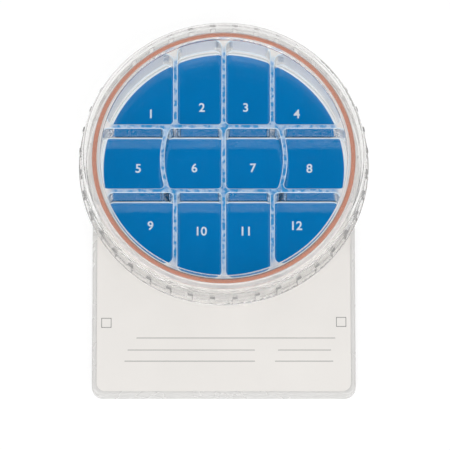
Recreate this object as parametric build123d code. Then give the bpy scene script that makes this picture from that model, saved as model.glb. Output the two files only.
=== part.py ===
"""A biopsy specimen container: a clear round dish of twelve compartments that seats in a base
with a flat writing panel, and closes with a clear screw lid on an O-ring.

The origin is at the middle of the whole outline, on the surface that the base stands on.
+Y runs from the writing panel towards the far side of the dish, and +Z is up.
"""

from build123d import *
import math
import os

# Dish: the well that the compartments share
WELL_RADIUS = 50.0
DISH_WALL = 3.2
FLOOR_THICKNESS = 1.6
COMPARTMENT_DEPTH = 12.6
LABEL_RECESS_DEPTH = 2.0
FOOT_WALL = 2.6

# Dividers between the compartments
DIVIDER_THICKNESS = 1.8
ROW_OFFSET = 13.5
COLUMN_OFFSET = 19.4
MIDDLE_COLUMN_OFFSET = 22.2
MIDDLE_COLUMN_BULGE = 2.4
INNER_CORNER_RADIUS = 1.6
OUTER_CORNER_RADIUS = 3.0
FLOOR_CORNER_RADIUS = 0.8
RIM_EDGE_CHAMFER = 0.3

# Base with its writing panel
PANEL_HEIGHT = 4.5
PANEL_SKIN = 1.6
PANEL_RIM = 1.6
PANEL_WIDTH = 105.0
PANEL_REACH = 95.2
PANEL_CORNER_RADIUS = 4.5
PANEL_EDGE_RADIUS = 1.2
COLLAR_WALL = 2.4
SEAT_LEDGE = 1.0
SEAT_GAP = 0.05

# Printed labels
LABEL_THICKNESS = 0.15
LABEL_ADHESIVE = 0.1
COMPARTMENT_LABEL_MARGIN = 1.25
PANEL_LABEL_MARGIN = 1.9
PANEL_LABEL_NECK_GAP = 1.0

# O-ring and the groove in the lid that holds it
RING_SECTION = 1.8
RING_SETBACK = 1.8
RING_GROOVE_GAP = 0.05
RING_RIM_GAP = 0.03

# Lid
LID_GAP = 0.3
LID_WINDOW = 2.0
LID_RIM_STEP = 1.2
LID_RIM_WIDTH = 7.6
LID_SKIRT_WALL = 2.4
LID_SKIRT_TAPER = 0.2
LID_BASE_GAP = 0.7
LID_LEDGE_WIDTH = 1.7
LID_LEDGE_DROP = 0.6
LID_SHOULDER_RADIUS = 1.4
LID_WINDOW_EDGE_RADIUS = 0.7

# Bead round the foot of the skirt, and the grips that stand on it
BEAD_DEPTH = 0.9
BEAD_HEIGHT = 1.8
BEAD_EDGE_RADIUS = 1.0
GRIP_COUNT = 40
GRIP_SETBACK = 0.1
GRIP_WIDTH = 2.2
GRIP_TIP_WIDTH = 1.8
GRIP_HEIGHT = 6.6

# Quick-turn screw thread: ramps on the dish, lugs in the lid
THREAD_LEAD = 16.0
THREAD_STARTS = 4
THREAD_DEPTH = 1.3
THREAD_ROOT_WIDTH = 1.6
THREAD_TIP_WIDTH = 1.0
THREAD_ROOT_BITE = 0.3
THREAD_SIDE_GAP = 0.3
THREAD_FLANK_GAP = 0.2
THREAD_BELOW_RIM = 5.7
RAMP_ARC = 52.0
LUG_ARC = 32.0
FIRST_RAMP_ANGLE = 45.0

# Sizes that follow from those above
floor_bottom = LABEL_RECESS_DEPTH
floor_top = floor_bottom + FLOOR_THICKNESS
rim_top = floor_top + COMPARTMENT_DEPTH
neck_radius = WELL_RADIUS + DISH_WALL
spigot_radius = neck_radius - SEAT_LEDGE
foot_radius = spigot_radius - FOOT_WALL
seat_radius = spigot_radius + SEAT_GAP
seat_height = PANEL_HEIGHT + SEAT_GAP
collar_radius = seat_radius + COLLAR_WALL
compartment_label_radius = foot_radius - COMPARTMENT_LABEL_MARGIN

ramp_tip_radius = neck_radius + THREAD_DEPTH
skirt_inner_radius = ramp_tip_radius + THREAD_SIDE_GAP
lug_tip_radius = skirt_inner_radius - THREAD_DEPTH
ramp_height = rim_top - THREAD_BELOW_RIM
lug_drop = (THREAD_ROOT_WIDTH + THREAD_TIP_WIDTH) / 2 + THREAD_FLANK_GAP

lid_underside = rim_top + LID_GAP
lid_window_top = lid_underside + LID_WINDOW
lid_top = lid_window_top + LID_RIM_STEP
skirt_bottom = PANEL_HEIGHT + LID_BASE_GAP
bead_top = skirt_bottom + BEAD_HEIGHT
skirt_radius = skirt_inner_radius + LID_SKIRT_WALL
lid_top_radius = skirt_radius - LID_SKIRT_TAPER
lid_ledge = lid_top - LID_LEDGE_DROP
lid_ledge_radius = lid_top_radius - LID_LEDGE_WIDTH
lid_radius = skirt_radius + BEAD_DEPTH
ring_radius = WELL_RADIUS + RING_SETBACK
ring_height = rim_top + RING_RIM_GAP + RING_SECTION / 2

# The outline runs from the lid's bead to the panel's front edge, with the origin halfway
dish_y = (PANEL_REACH - lid_radius) / 2
dish_axis = Pos(0, dish_y, 0)


def middle_column(side):
    """The bowed divider at the end of a middle compartment, on one side (-1 or 1)."""
    foot = side * MIDDLE_COLUMN_OFFSET
    crown = side * (MIDDLE_COLUMN_OFFSET + MIDDLE_COLUMN_BULGE)
    bow = ThreePointArc((foot, -ROW_OFFSET), (crown, 0), (foot, ROW_OFFSET))
    return trace(bow, line_width=DIVIDER_THICKNESS)


def divider_plan():
    """The dividers seen from above, run on into the dish's wall."""
    reach = neck_radius
    plan = Rectangle(DIVIDER_THICKNESS, 2 * reach)
    for side in (-1, 1):
        plan += Pos(0, side * ROW_OFFSET) * Rectangle(2 * reach, DIVIDER_THICKNESS)
        plan += middle_column(side)
        for end in (-1, 1):
            middle = end * (ROW_OFFSET + reach) / 2
            straight = Rectangle(DIVIDER_THICKNESS, reach - ROW_OFFSET)
            plan += Pos(side * COLUMN_OFFSET, middle) * straight
    return plan


def compartment_plans():
    """The twelve compartments seen from above, with their corners rounded."""
    rounded = []
    for pocket in (Circle(WELL_RADIUS) - divider_plan()).faces():
        at_wall = []
        inside = []
        for corner in pocket.vertices():
            radius = math.hypot(corner.X, corner.Y)
            (at_wall if radius > WELL_RADIUS - 0.01 else inside).append(corner)
        shape = Sketch() + pocket
        shape = fillet(shape.vertices().filter_by(lambda v: is_near(v, inside)), INNER_CORNER_RADIUS)
        if at_wall:
            shape = fillet(shape.vertices().filter_by(lambda v: is_near(v, at_wall)), OUTER_CORNER_RADIUS)
        rounded.append(shape.faces()[0])
    return rounded


def is_near(vertex, others):
    """True where a vertex lies on one of the others."""
    return any((vertex.center() - other.center()).length < 0.01 for other in others)


def compartment(plan):
    """One compartment as a solid: its plan pulled up past the rim, with a rounded floor edge."""
    pocket = Pos(0, 0, floor_top) * extrude(plan, COMPARTMENT_DEPTH + LID_GAP)
    floor_edges = pocket.faces().sort_by(Axis.Z)[0].edges()
    return fillet(floor_edges, FLOOR_CORNER_RADIUS)


def thread_rib(root_radius, tip_radius, arc, height):
    """One thread rib about the dish axis, centred on the X axis at a height, rising with the angle."""
    rise = THREAD_LEAD * arc / 360
    inwards = 1 if root_radius > tip_radius else -1
    buried = root_radius + inwards * THREAD_ROOT_BITE
    root = THREAD_ROOT_WIDTH / 2
    tip = THREAD_TIP_WIDTH / 2
    path = Helix(pitch=THREAD_LEAD, height=rise, radius=root_radius)
    outline = Polyline(
        (buried, -root), (root_radius, -root), (tip_radius, -tip),
        (tip_radius, tip), (root_radius, root), (buried, root), close=True,
    )
    section = Plane.XZ * make_face(outline)
    rib = sweep(section, path, is_frenet=True)
    return Pos(0, 0, height - rise / 2) * Rot(0, 0, -arc / 2) * rib


def thread_ribs(root_radius, tip_radius, arc, height):
    """All the starts of the thread."""
    rib = thread_rib(root_radius, tip_radius, arc, height)
    step = 360 / THREAD_STARTS
    return [Rot(0, 0, FIRST_RAMP_ANGLE + step * n) * rib for n in range(THREAD_STARTS)]


def make_dish():
    """The round dish: foot, floor, wall, dividers and the thread ramps outside."""
    outline = Polyline(
        (0, floor_bottom), (foot_radius, floor_bottom), (foot_radius, 0), (spigot_radius, 0),
        (spigot_radius, seat_height), (neck_radius, seat_height), (neck_radius, rim_top),
        (0, rim_top), close=True,
    )
    body = revolve(Plane.XZ * make_face(outline), Axis.Z)
    for plan in compartment_plans():
        body -= compartment(plan)
    rim = body.faces().filter_by(Plane.XY).sort_by(Axis.Z)[-1]
    body = chamfer(rim.inner_wires().edges(), RIM_EDGE_CHAMFER)
    body += thread_ribs(neck_radius, ramp_tip_radius, RAMP_ARC, ramp_height)
    return dish_axis * body


def panel_plan(inset):
    """The writing panel's outline about the dish axis, drawn in by an inset."""
    width = PANEL_WIDTH - 2 * inset
    length = PANEL_REACH - inset
    plan = Pos(0, -length / 2) * Rectangle(width, length)
    front = plan.vertices().group_by(Axis.Y)[0]
    return fillet(front, PANEL_CORNER_RADIUS - inset / 2)


def make_base():
    """The base: a collar that the dish seats in, and a panel with a rim turned down."""
    outline = panel_plan(0) + Circle(collar_radius)
    body = extrude(outline, PANEL_HEIGHT)
    top = body.faces().sort_by(Axis.Z)[-1]
    body = fillet(top.outer_wire().edges(), PANEL_EDGE_RADIUS)
    hollow = panel_plan(PANEL_RIM) - Circle(collar_radius)
    body -= extrude(hollow, PANEL_HEIGHT - PANEL_SKIN)
    body -= extrude(Circle(seat_radius), PANEL_HEIGHT)
    return dish_axis * body


def make_panel_label():
    """The writing label on top of the panel, cut round the dish."""
    outline = panel_plan(PANEL_LABEL_MARGIN) - Circle(neck_radius + PANEL_LABEL_NECK_GAP)
    return dish_axis * Pos(0, 0, PANEL_HEIGHT + LABEL_ADHESIVE) * extrude(outline, LABEL_THICKNESS)


def make_compartment_label():
    """The coloured disc under the dish's floor."""
    disc = extrude(Circle(compartment_label_radius), LABEL_THICKNESS)
    return dish_axis * Pos(0, 0, floor_bottom - LABEL_ADHESIVE - LABEL_THICKNESS) * disc


def make_o_ring():
    """The O-ring that seals the lid to the dish's rim."""
    return dish_axis * Pos(0, 0, ring_height) * Torus(ring_radius, RING_SECTION / 2)


def grip():
    """One grip rib of the lid, on the X axis, rising from inside the bead to its flat top."""
    root = skirt_radius - LID_SKIRT_TAPER - LID_SKIRT_WALL / 4
    tip = lid_radius - GRIP_SETBACK
    plan = Polyline(
        (root, -GRIP_WIDTH / 2), (skirt_radius, -GRIP_WIDTH / 2), (tip, -GRIP_TIP_WIDTH / 2),
        (tip, GRIP_TIP_WIDTH / 2), (skirt_radius, GRIP_WIDTH / 2), (root, GRIP_WIDTH / 2),
        close=True,
    )
    buried = BEAD_HEIGHT / 4
    return Pos(0, 0, bead_top - buried) * extrude(make_face(plan), GRIP_HEIGHT + buried)


def circle_at(body, radius, height):
    """A turned body's circular edge at a radius and a height."""
    def distance(edge):
        return math.hypot(edge.radius - radius, edge.arc_center.Z - height)
    return min(body.edges().filter_by(GeomType.CIRCLE), key=distance)


def make_lid():
    """The screw lid: a window with a raised rim and ledge, O-ring groove, skirt, lugs and grips."""
    groove_half = RING_SECTION / 2 + RING_GROOVE_GAP
    groove_top = ring_height + groove_half
    window_radius = lid_top_radius - LID_RIM_WIDTH
    outline = Polyline(
        (0, lid_underside), (ring_radius - groove_half, lid_underside),
        (ring_radius - groove_half, groove_top), (ring_radius + groove_half, groove_top),
        (ring_radius + groove_half, lid_underside), (skirt_inner_radius, lid_underside),
        (skirt_inner_radius, skirt_bottom), (lid_radius, skirt_bottom),
        (lid_radius, bead_top), (skirt_radius, bead_top),
        (lid_top_radius, lid_ledge), (lid_ledge_radius, lid_ledge),
        (lid_ledge_radius, lid_top), (window_radius, lid_top),
        (window_radius, lid_window_top), (0, lid_window_top), close=True,
    )
    body = revolve(Plane.XZ * make_face(outline), Axis.Z)
    body = fillet(circle_at(body, lid_top_radius, lid_ledge), LID_SHOULDER_RADIUS)
    body = fillet(circle_at(body, window_radius, lid_top), LID_WINDOW_EDGE_RADIUS)
    body = fillet(circle_at(body, lid_radius, skirt_bottom), BEAD_EDGE_RADIUS)
    body = fillet(circle_at(body, skirt_inner_radius, skirt_bottom), BEAD_EDGE_RADIUS)
    one = grip()
    step = 360 / GRIP_COUNT
    body += [Rot(0, 0, step * (n + 0.5)) * one for n in range(GRIP_COUNT)]
    body += thread_ribs(skirt_inner_radius, lug_tip_radius, LUG_ARC, ramp_height - lug_drop)
    return dish_axis * body


pieces = {
    "dish": make_dish(),
    "base": make_base(),
    "panel_label": make_panel_label(),
    "compartment_label": make_compartment_label(),
    "lid_o_ring": make_o_ring(),
    "lid": make_lid(),
}

os.makedirs("parts", exist_ok=True)
for name, piece in pieces.items():
    export_step(piece, f"parts/{name}.step")
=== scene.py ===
"""The looks of a biopsy specimen container: a clear dish of twelve compartments over a blue
label, a clear screw lid with an orange seal, and a base with a white writing panel.

Lengths are in metres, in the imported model's own frame.
"""

import math

import bpy
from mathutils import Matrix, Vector


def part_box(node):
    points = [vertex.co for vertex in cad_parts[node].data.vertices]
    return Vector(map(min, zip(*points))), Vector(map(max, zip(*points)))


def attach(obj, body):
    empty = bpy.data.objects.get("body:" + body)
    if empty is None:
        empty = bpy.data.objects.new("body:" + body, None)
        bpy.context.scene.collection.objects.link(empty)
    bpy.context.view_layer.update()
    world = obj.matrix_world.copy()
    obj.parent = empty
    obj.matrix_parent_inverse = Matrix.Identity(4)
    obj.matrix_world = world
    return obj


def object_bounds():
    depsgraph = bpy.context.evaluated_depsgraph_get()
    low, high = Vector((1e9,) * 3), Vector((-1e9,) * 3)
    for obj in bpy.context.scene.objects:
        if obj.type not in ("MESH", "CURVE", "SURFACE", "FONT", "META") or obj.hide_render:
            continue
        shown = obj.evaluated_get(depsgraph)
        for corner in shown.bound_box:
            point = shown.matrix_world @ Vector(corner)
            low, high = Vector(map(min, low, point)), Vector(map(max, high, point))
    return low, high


MM = 0.001
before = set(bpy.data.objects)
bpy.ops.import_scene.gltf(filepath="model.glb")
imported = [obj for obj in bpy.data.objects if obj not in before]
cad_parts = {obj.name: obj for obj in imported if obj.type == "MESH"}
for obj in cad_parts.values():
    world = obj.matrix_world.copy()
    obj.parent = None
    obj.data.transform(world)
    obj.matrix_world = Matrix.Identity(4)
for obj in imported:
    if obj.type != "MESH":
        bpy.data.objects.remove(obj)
cad_low, cad_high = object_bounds()

# The photograph's view: from the writing panel's side, well above it
PHOTO_SIZE = 450
PIXELS_PER_METRE = 2509
SENSOR = 36.0
CAMERA_DISTANCE = 2.6
CAMERA_ELEVATION = math.radians(72.6)
CAMERA_RANGE = (0.1, 20.0)
AIM_RIGHT = 0.48 * MM
AIM_BELOW_SEAL = 28.0 * MM

# Colours, as linear values
CLEAR_WINDOW = (0.98, 0.99, 0.99)
CLEAR_RIM = (0.99, 0.985, 0.98)
CLEAR_SKIRT = (0.93, 0.925, 0.915)
# Painted shade: a darker grey on the lid's faces that slope down
FOOT_PAINTED_SHADE = (0.75, 0.75, 0.75)
# Painted shade: a dark grey on the tops of the lid's grips
GRIP_TOP_PAINTED_SHADE = (0.30, 0.30, 0.30)
CLEAR_DISH = (0.95, 0.98, 1.0)
CLEAR_HAZE = (0.93, 0.905, 0.895)
# Painted blue and shade: the dividers' tops carry the blue of the label seen through them, with patches of
# darker painted shade
DIVIDER_TOP_PAINTED_BLUE = (0.74, 0.87, 1.0)
DIVIDER_PAINTED_SHADE = (0.03, 0.36, 0.72)
# Painted highlight: a pale colour on the dish's top edges
TOP_EDGE_PAINTED_HIGHLIGHT = (0.78, 0.90, 1.0)
# Painted highlight: a pale colour on the floor fillets that face the camera, and on the corners where
# dividers meet
EDGE_PAINTED_HIGHLIGHT = (0.88, 0.95, 1.0)
# Painted shade: darker patches on the corners where dividers meet
CORNER_PAINTED_SHADE = (0.04, 0.25, 0.50)
PALE_WALL = (0.97, 0.955, 0.97)
CLEAR_BASE = (0.78, 0.77, 0.755)
SEAL_ORANGE = (0.53, 0.138, 0.045)
LABEL_BLUE = (0.0, 0.22, 0.56)
LABEL_WHITE = (0.79, 0.765, 0.735)
INK_WHITE = (0.86, 0.92, 0.96)
INK_GREY = (0.16, 0.16, 0.16)
FLOOR_WHITE = (0.90, 0.90, 0.90)

# Clear plastic: a slow change of polish, and patches of painted shade, a darker colour, where it has them
PLASTIC_IOR = 1.5
LAMP_LIGHT_PASSED = (0.99, 0.99, 0.99)
RIPPLE_SCALE, RIPPLE_DETAIL = 60.0, 3.0
SMOOTHEST_SHARE, ROUGHEST_SHARE = 0.6, 1.6
PATCH_SCALE, PATCH_DETAIL = 450.0, 2.0
CORNER_PATCH_SCALE = 900.0
SHADE_PATCH_UNTIL, PLAIN_FROM = 0.42, 0.6

# Opaque surfaces: a slight change of shade, and a fine grain
SHADE_SCALE, SHADE_DETAIL = 40.0, 4.0
SHADE_CHANGE = 0.04
GRAIN_DETAIL = 2.0
GRAIN_STRENGTH = 0.3

# The studio
FLOOR_REACH = 3.0
FLOOR_ROUGHNESS = 0.9
FLOOR_SHARE = 0.6
FLOOR_GLOW = 1.1
SKY_LIGHT = 0.6
DARK_EDGE = math.radians(7)
DARK_CORE = math.radians(4)
LAMP_HEIGHT = 1.25
SIDE_LAMP_RIGHT, SIDE_LAMP_FRONT = 1.0, -0.8
SIDE_LAMP_SIZE, SIDE_LAMP_POWER = 1.1, 9.3
FRONT_LAMP_FRONT = -0.4
FRONT_LAMP_SIZE, FRONT_LAMP_POWER = 0.5, 1.4

# The pieces' boxes, and the radii and heights that they give
DISH_WALL = 3.2 * MM
seal_low, seal_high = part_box("lid_o_ring")
lid_low, lid_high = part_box("lid")
dish_low, dish_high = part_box("dish")
dish_axis = (seal_low + seal_high) / 2
seal_radius = (seal_high.x - seal_low.x) / 2
lid_radius = (lid_high.x - lid_low.x) / 2
well_radius = (dish_high.x - dish_low.x) / 2 - DISH_WALL
blue_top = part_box("compartment_label")[1].z
white_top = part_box("panel_label")[1].z

# How a face lies: how far its normal points up, from 0 for an upright face to 1 for a level one
FLAT = 0.9
UPRIGHT = 0.2
SLOPING = 0.3

# Where one material of the lid meets the next
WINDOW_INSET = 0.5 * MM
SKIRT_DEPTH = 2.9 * MM
BEAD_ZONE = 4 * MM
SHOULDER_ZONE = 2 * MM
FOOT_STEEPEST, FOOT_FLATTEST = -0.1, -0.97

# Where one material of the dish meets the next
RIM_MARGIN = 0.05 * MM
TOP_EDGE_DEPTH = 0.35 * MM
HAZE_OUTSET = 0.6 * MM
WALL_INSET = 0.1 * MM
CORNER_INSET = 4 * MM
FLOOR_EDGE_LEAST, FLOOR_EDGE_MOST = 0.1, 0.97
FACING_CAMERA = -0.5
CORNER_TURN = 0.35
TINT_START_INSET, TINT_END_INSET = 5 * MM, 2 * MM

# Print: numbers on the blue label, rules and boxes on the white one
INK_THICKNESS = 0.02 * MM
INK_CLEARANCE = 0.01 * MM
NUMBER_HEIGHT = 3.7 * MM
NUMBER_WEIGHT = 0.018
TEXT_DEPTH = 0.5
RULE_WIDTH = 0.22 * MM
BOX_SIZE = 4.0 * MM

# Each number's place from the dish's axis, in millimetres
FAR_NUMBERS = [(-29.4, 23.3), (-8.8, 26.0), (8.8, 26.0), (29.4, 23.3)]
MIDDLE_NUMBERS = [(-34.4, 0.2), (-11.8, 0.4), (11.8, 0.4), (34.4, 0.2)]
NEAR_NUMBERS = [(-29.4, -23.9), (-8.8, -26.2), (8.8, -26.2), (29.4, -23.9)]

# Each rule's left end, right end and distance from the panel's near edge, in millimetres
LONG_RULE = (-34.8, 44.4, 23.9)
SPLIT_RULES = [(-38.3, 12.4, 18.9), (21.6, 42.7, 18.9), (-39.5, 12.4, 14.3), (20.4, 43.5, 14.3)]

# Each tick box's middle, likewise
BOX_PLACES = [(-46.8, 30.2), (46.8, 30.6)]


def feed(tree, node, values):
    """Gives a shader node's inputs their values, or another node's output where the value is one."""
    for name, value in values.items():
        if isinstance(value, bpy.types.NodeSocket):
            tree.links.new(value, node.inputs[name])
        else:
            node.inputs[name].default_value = value


def add_node(tree, kind, values, operation=None):
    """Adds a shader node of a kind, with its inputs' values."""
    node = tree.nodes.new("ShaderNode" + kind)
    if operation:
        node.operation = operation
    feed(tree, node, values)
    return node


def add_noise(tree, place, scale, detail):
    """Adds noise that is fixed to the piece, and gives its value."""
    return add_node(tree, "TexNoise", {"Vector": place, "Scale": scale, "Detail": detail}).outputs["Fac"]


def new_material(name):
    """An empty material, its nodes' tree and its shader."""
    material = bpy.data.materials.new(name)
    material.use_nodes = True
    return material, material.node_tree, material.node_tree.nodes["Principled BSDF"]


def set_surface(tree, mixed):
    """Makes a mix of two shaders the surface of a material."""
    feed(tree, tree.nodes["Material Output"], {"Surface": mixed.outputs["Shader"]})


def clear_plastic(name, colour, roughness, milk=0.0, shade_patch_colour=None, patches=PATCH_SCALE):
    """A clear moulded plastic. Milk is the share of light that it scatters; the patch colour is a darker
    painted shade, laid on in patches.

    The lamps' light passes straight through it, so that what lies under it is lit.
    """
    material, tree, shader = new_material(name)
    feed(tree, shader, {"Base Color": (*colour, 1), "Transmission Weight": 1.0 - milk, "IOR": PLASTIC_IOR})
    place = add_node(tree, "TexCoord", {}).outputs["Object"]
    if shade_patch_colour:
        patch = add_noise(tree, place, patches, PATCH_DETAIL)
        share = add_node(tree, "MapRange", {"Value": patch, "From Min": SHADE_PATCH_UNTIL, "From Max": PLAIN_FROM})
        tint = add_node(tree, "MixRGB", {"Fac": share.outputs["Result"], "Color1": (*shade_patch_colour, 1),
                                         "Color2": (*colour, 1)})
        feed(tree, shader, {"Base Color": tint.outputs["Color"]})
    ripple = add_noise(tree, place, RIPPLE_SCALE, RIPPLE_DETAIL)
    polish = add_node(tree, "MapRange", {"Value": ripple, "To Min": roughness * SMOOTHEST_SHARE,
                                         "To Max": roughness * ROUGHEST_SHARE})
    feed(tree, shader, {"Roughness": polish.outputs["Result"]})
    lamp_rays = add_node(tree, "LightPath", {}).outputs["Is Shadow Ray"]
    passed = add_node(tree, "BsdfTransparent", {"Color": (*LAMP_LIGHT_PASSED, 1)}).outputs["BSDF"]
    set_surface(tree, add_node(tree, "MixShader", {"Fac": lamp_rays, 1: shader.outputs["BSDF"], 2: passed}))
    return material


def plain_surface(name, colour, roughness, grain_scale, grain_depth, gloss=0.5):
    """An opaque surface with a fine grain and a slight change of shade."""
    material, tree, shader = new_material(name)
    place = add_node(tree, "TexCoord", {}).outputs["Object"]
    darker = [part * (1 - SHADE_CHANGE) for part in colour]
    lighter = [min(1, part * (1 + SHADE_CHANGE)) for part in colour]
    tint = add_node(tree, "MixRGB", {"Fac": add_noise(tree, place, SHADE_SCALE, SHADE_DETAIL),
                                     "Color1": (*darker, 1), "Color2": (*lighter, 1)})
    bump = add_node(tree, "Bump", {"Height": add_noise(tree, place, grain_scale, GRAIN_DETAIL),
                                   "Strength": GRAIN_STRENGTH, "Distance": grain_depth})
    feed(tree, shader, {"Base Color": tint.outputs["Color"], "Normal": bump.outputs["Normal"],
                        "Roughness": roughness, "Specular IOR Level": gloss})
    return material


def dress(node, *materials):
    """Gives a carried-over piece its materials, the first for every face."""
    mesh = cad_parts[node].data
    mesh.materials.clear()
    for material in materials:
        mesh.materials.append(material)
    for face in mesh.polygons:
        face.material_index = 0
    return mesh


def reach(mesh, face):
    """How far from the dish's axis a face's nearest and farthest corners are."""
    corners = [(mesh.vertices[v].co - dish_axis).xy.length for v in face.vertices]
    return min(corners), max(corners)


def dress_lid():
    """The lid is clear over the compartments, and a little grey and milky in its rim and skirt. Its grips'
    tops and the faces that slope down under it carry painted shade.
    """
    mesh = dress("lid", clear_plastic("lid_rim", CLEAR_RIM, roughness=0.05, milk=0.04),
                 clear_plastic("lid_window", CLEAR_WINDOW, roughness=0.0),
                 clear_plastic("lid_skirt", CLEAR_SKIRT, roughness=0.1, milk=0.1),
                 clear_plastic("lid_foot_painted_shade", FOOT_PAINTED_SHADE, roughness=0.05, milk=0.04),
                 clear_plastic("grip_top_painted_shade", GRIP_TOP_PAINTED_SHADE, roughness=0.2, milk=0.6))
    window, skirt, foot, grip_top_painted_shade = range(1, 5)
    grips_low, grips_high = lid_low.z + BEAD_ZONE, lid_high.z - SHOULDER_ZONE
    for face in mesh.polygons:
        farthest = reach(mesh, face)[1]
        up, height = face.normal.z, face.center.z
        under_seal = height < dish_axis.z and farthest < seal_radius
        if abs(up) > FLAT and (farthest < well_radius - WINDOW_INSET or under_seal):
            face.material_index = window
        # Faces that slope down get a darker painted shade
        elif FOOT_FLATTEST < up < FOOT_STEEPEST:
            face.material_index = foot
        # The grips' tops get a dark painted shade
        elif up > FLAT and grips_low < height < grips_high:
            face.material_index = grip_top_painted_shade
        elif farthest > lid_radius - SKIRT_DEPTH:
            face.material_index = skirt


def tint_rim(material):
    """Lets the painted blue of the dividers' tops, the label seen through them, run out to a pale neutral
    towards the dish's rim.
    """
    tree = material.node_tree
    shader = tree.nodes["Principled BSDF"]
    colour = shader.inputs["Base Color"].links[0].from_socket
    place = add_node(tree, "TexCoord", {}).outputs["Object"]
    flat = add_node(tree, "VectorMath", {0: place, 1: (1, 1, 0), 2: (-dish_axis.x, -dish_axis.y, 0)},
                    "MULTIPLY_ADD")
    distance = add_node(tree, "VectorMath", {0: flat.outputs["Vector"]}, "LENGTH")
    outer = add_node(tree, "MapRange", {"Value": distance.outputs["Value"],
                                        "From Min": well_radius - TINT_START_INSET,
                                        "From Max": well_radius - TINT_END_INSET})
    blend = add_node(tree, "MixRGB", {"Fac": outer.outputs["Result"], "Color1": colour,
                                      "Color2": (*CLEAR_HAZE, 1)})
    feed(tree, shader, {"Base Color": blend.outputs["Color"]})


def dress_dish():
    """The dish is clear inside and hazy outside. Its dividers' tops carry painted blue and patches of
    painted shade, and its moulded edges carry pale painted highlights.
    """
    mesh = dress("dish", clear_plastic("dish_clear", CLEAR_DISH, roughness=0.02),
                 clear_plastic("dish_haze", CLEAR_HAZE, roughness=0.3, milk=0.5),
                 clear_plastic("divider_top_painted_blue", DIVIDER_TOP_PAINTED_BLUE, roughness=0.3, milk=0.5, shade_patch_colour=DIVIDER_PAINTED_SHADE),
                 clear_plastic("dish_edge_painted_highlight", EDGE_PAINTED_HIGHLIGHT, roughness=0.3, milk=0.95),
                 clear_plastic("dish_corner_painted_light", EDGE_PAINTED_HIGHLIGHT, roughness=0.3, milk=0.95, shade_patch_colour=CORNER_PAINTED_SHADE,
                               patches=CORNER_PATCH_SCALE),
                 clear_plastic("dish_wall", PALE_WALL, roughness=0.2, milk=0.8),
                 clear_plastic("top_edge_highlight", TOP_EDGE_PAINTED_HIGHLIGHT, roughness=0.3, milk=0.9))
    outside, top, floor_edge_highlight, corner, wall, top_edge_highlight = range(1, 7)
    tint_rim(mesh.materials[top])
    for face in mesh.polygons:
        nearest, farthest = reach(mesh, face)
        up, height = face.normal.z, face.center.z
        turned = min(abs(face.normal.x), abs(face.normal.y)) > CORNER_TURN
        # Flat tops: the painted blue of the label seen through, with patches of painted shade
        if up > FLAT and height > dish_high.z - RIM_MARGIN:
            face.material_index = top
        elif farthest > well_radius + HAZE_OUTSET:
            face.material_index = outside
        # Top edges: a painted highlight
        elif up > SLOPING and height > dish_high.z - TOP_EDGE_DEPTH:
            face.material_index = top_edge_highlight
        # Floor fillets on the side facing the camera: a painted highlight
        elif FLOOR_EDGE_LEAST < up < FLOOR_EDGE_MOST and face.normal.y < FACING_CAMERA:
            face.material_index = floor_edge_highlight
        elif abs(up) < UPRIGHT and nearest > well_radius - WALL_INSET:
            face.material_index = wall
        # Corners where dividers meet: a painted highlight, with patches of painted shade
        elif abs(up) < UPRIGHT and farthest < well_radius - CORNER_INSET and turned:
            face.material_index = corner


dress_lid()
dress_dish()
dress("base", clear_plastic("base_clear", CLEAR_BASE, roughness=0.25, milk=0.7))
dress("lid_o_ring", plain_surface("seal_rubber", SEAL_ORANGE, roughness=0.45, grain_scale=3000,
                                  grain_depth=0.02 * MM, gloss=0.3))
dress("compartment_label", plain_surface("blue_print", LABEL_BLUE, roughness=0.2, grain_scale=4000,
                                         grain_depth=0.001 * MM, gloss=0.1))
dress("panel_label", plain_surface("white_print", LABEL_WHITE, roughness=0.6, grain_scale=5000,
                                   grain_depth=0.01 * MM))
white_ink = plain_surface("white_ink", INK_WHITE, roughness=0.5, grain_scale=4000, grain_depth=0.005 * MM)
grey_ink = plain_surface("grey_ink", INK_GREY, roughness=0.6, grain_scale=4000, grain_depth=0.005 * MM)


def add_print(name, mesh, material):
    """Adds a printed mesh to the scene, as a piece that rides on the container."""
    piece = bpy.data.objects.new(name, mesh)
    bpy.context.scene.collection.objects.link(piece)
    mesh.materials.clear()
    mesh.materials.append(material)
    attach(piece, "container")
    return piece


def make_number(number, x, y):
    """One plain number on the blue label. The text's own depth gives way to the ink's thickness."""
    curve = bpy.data.curves.new("number", "FONT")
    curve.body = str(number)
    curve.align_x = "CENTER"
    curve.align_y = "CENTER"
    curve.offset = NUMBER_WEIGHT
    curve.extrude = TEXT_DEPTH
    text = bpy.data.objects.new("number", curve)
    mesh = bpy.data.meshes.new_from_object(text)
    bpy.data.objects.remove(text)
    low = [min(vertex.co[n] for vertex in mesh.vertices) for n in range(2)]
    high = [max(vertex.co[n] for vertex in mesh.vertices) for n in range(2)]
    scale = NUMBER_HEIGHT / (high[1] - low[1])
    bottom = blue_top + INK_CLEARANCE
    for vertex in mesh.vertices:
        side = (vertex.co.x - (low[0] + high[0]) / 2) * scale
        along = (vertex.co.y - (low[1] + high[1]) / 2) * scale
        vertex.co = (dish_axis.x + x * MM + side, dish_axis.y + y * MM + along,
                     bottom + (INK_THICKNESS if vertex.co.z > 0 else 0))
    add_print(f"number_{number}", mesh, white_ink)


def rectangle(left, right, low, high):
    """The corners of a rectangle, in order round it."""
    return [(left, low), (right, low), (right, high), (left, high)]


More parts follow.
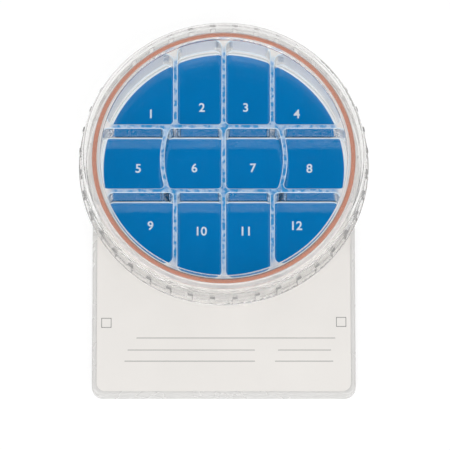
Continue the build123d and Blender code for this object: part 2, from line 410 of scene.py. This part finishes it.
def print_plates(name, outlines):
    """Thin printed plates on the white label, one for each closed outline."""
    bottom = white_top + INK_CLEARANCE
    corners, faces = [], []
    for outline in outlines:
        start, count = len(corners), len(outline)
        corners += [(x, y, bottom) for x, y in outline]
        corners += [(x, y, bottom + INK_THICKNESS) for x, y in outline]
        faces.append([start + n for n in reversed(range(count))])
        faces.append([start + count + n for n in range(count)])
        for n in range(count):
            after = (n + 1) % count
            faces.append([start + n, start + after, start + count + after, start + count + n])
    mesh = bpy.data.meshes.new(name)
    mesh.from_pydata(corners, [], faces)
    mesh.update()
    add_print(name, mesh, grey_ink)


def make_rules():
    """The ruled writing lines on the white label."""
    outlines = []
    for left, right, distance in [LONG_RULE] + SPLIT_RULES:
        y = distance * MM - cad_high.y
        outlines.append(rectangle(left * MM, right * MM, y - RULE_WIDTH / 2, y + RULE_WIDTH / 2))
    print_plates("writing_rules", outlines)


def make_tick_boxes():
    """The two empty tick boxes on the white label, four strokes each."""
    outlines = []
    for x, distance in BOX_PLACES:
        y = distance * MM - cad_high.y
        left, right = x * MM - BOX_SIZE / 2, x * MM + BOX_SIZE / 2
        low, high = y - BOX_SIZE / 2, y + BOX_SIZE / 2
        outlines.append(rectangle(left, right, low, low + RULE_WIDTH))
        outlines.append(rectangle(left, right, high - RULE_WIDTH, high))
        outlines.append(rectangle(left, left + RULE_WIDTH, low, high))
        outlines.append(rectangle(right - RULE_WIDTH, right, low, high))
    print_plates("tick_boxes", outlines)


for number, (x, y) in enumerate(FAR_NUMBERS + MIDDLE_NUMBERS + NEAR_NUMBERS, 1):
    make_number(number, x, y)
make_rules()
make_tick_boxes()


def make_camera():
    """The camera at the photograph's angle and framing."""
    data = bpy.data.cameras.new("camera")
    data.sensor_width = SENSOR
    data.lens = SENSOR * CAMERA_DISTANCE * PIXELS_PER_METRE / PHOTO_SIZE
    data.clip_start, data.clip_end = CAMERA_RANGE
    camera = bpy.data.objects.new("camera", data)
    bpy.context.scene.collection.objects.link(camera)
    aim = dish_axis + Vector((AIM_RIGHT, -AIM_BELOW_SEAL, 0))
    back = Vector((0, -math.cos(CAMERA_ELEVATION), math.sin(CAMERA_ELEVATION)))
    camera.location = aim + back * CAMERA_DISTANCE
    camera.rotation_mode = "QUATERNION"
    camera.rotation_quaternion = (-back).to_track_quat("-Z", "Y")
    bpy.context.scene.camera = camera


def make_floor():
    """A pale floor that the object stands on. Seen, mirrored or through clear plastic, it also glows."""
    mesh = bpy.data.meshes.new("floor")
    corners = [(x, y, 0) for x, y in rectangle(-FLOOR_REACH, FLOOR_REACH, -FLOOR_REACH, FLOOR_REACH)]
    mesh.from_pydata(corners, [], [(0, 1, 2, 3)])
    floor = bpy.data.objects.new("floor", mesh)
    bpy.context.scene.collection.objects.link(floor)
    material, tree, shader = new_material("floor_white")
    feed(tree, shader, {"Base Color": (*FLOOR_WHITE, 1), "Roughness": FLOOR_ROUGHNESS})
    rays = add_node(tree, "LightPath", {}).outputs
    seen = add_node(tree, "Math", {0: rays["Is Camera Ray"], 1: rays["Is Transmission Ray"]}, "ADD")
    mirrored = add_node(tree, "Math", {0: seen.outputs["Value"], 1: rays["Is Glossy Ray"]}, "ADD")
    mirrored.use_clamp = True
    share = add_node(tree, "Math", {0: mirrored.outputs["Value"], 1: FLOOR_SHARE}, "MULTIPLY")
    glow = add_node(tree, "Emission", {"Strength": FLOOR_GLOW}).outputs["Emission"]
    set_surface(tree, add_node(tree, "MixShader", {"Fac": share.outputs["Value"],
                                                   1: shader.outputs["BSDF"], 2: glow}))
    mesh.materials.append(material)


def make_world():
    """A pale studio all round. Its one dark patch is what the flat window mirrors to the camera."""
    world = bpy.data.worlds.new("studio")
    bpy.context.scene.world = world
    world.use_nodes = True
    tree = world.node_tree
    mirrored = (0, math.cos(CAMERA_ELEVATION), math.sin(CAMERA_ELEVATION))
    direction = add_node(tree, "TexCoord", {}).outputs["Generated"]
    nearness = add_node(tree, "VectorMath", {0: direction, 1: mirrored}, "DOT_PRODUCT")
    light = add_node(tree, "MapRange", {"Value": nearness.outputs["Value"], "From Min": math.cos(DARK_EDGE),
                                        "From Max": math.cos(DARK_CORE), "To Min": SKY_LIGHT, "To Max": 0.0})
    feed(tree, tree.nodes["Background"], {"Color": (1, 1, 1, 1), "Strength": light.outputs["Result"]})


def make_lamp(name, place, size, power):
    """A soft square lamp, aimed at the frame's origin."""
    data = bpy.data.lights.new(name, "AREA")
    data.size = size
    data.energy = power
    lamp = bpy.data.objects.new(name, data)
    bpy.context.scene.collection.objects.link(lamp)
    lamp.location = place
    lamp.rotation_mode = "QUATERNION"
    lamp.rotation_quaternion = Vector(place).to_track_quat("Z", "Y")


def make_lamps():
    """A large lamp on each side, and a small one near the camera."""
    for name, side in (("left_lamp", -1), ("right_lamp", 1)):
        place = (side * SIDE_LAMP_RIGHT, SIDE_LAMP_FRONT, LAMP_HEIGHT)
        make_lamp(name, place, SIDE_LAMP_SIZE, SIDE_LAMP_POWER)
    make_lamp("front_lamp", (0, FRONT_LAMP_FRONT, LAMP_HEIGHT), FRONT_LAMP_SIZE, FRONT_LAMP_POWER)


make_camera()
make_floor()
make_world()
make_lamps()
bpy.context.scene.view_settings.view_transform = "Standard"
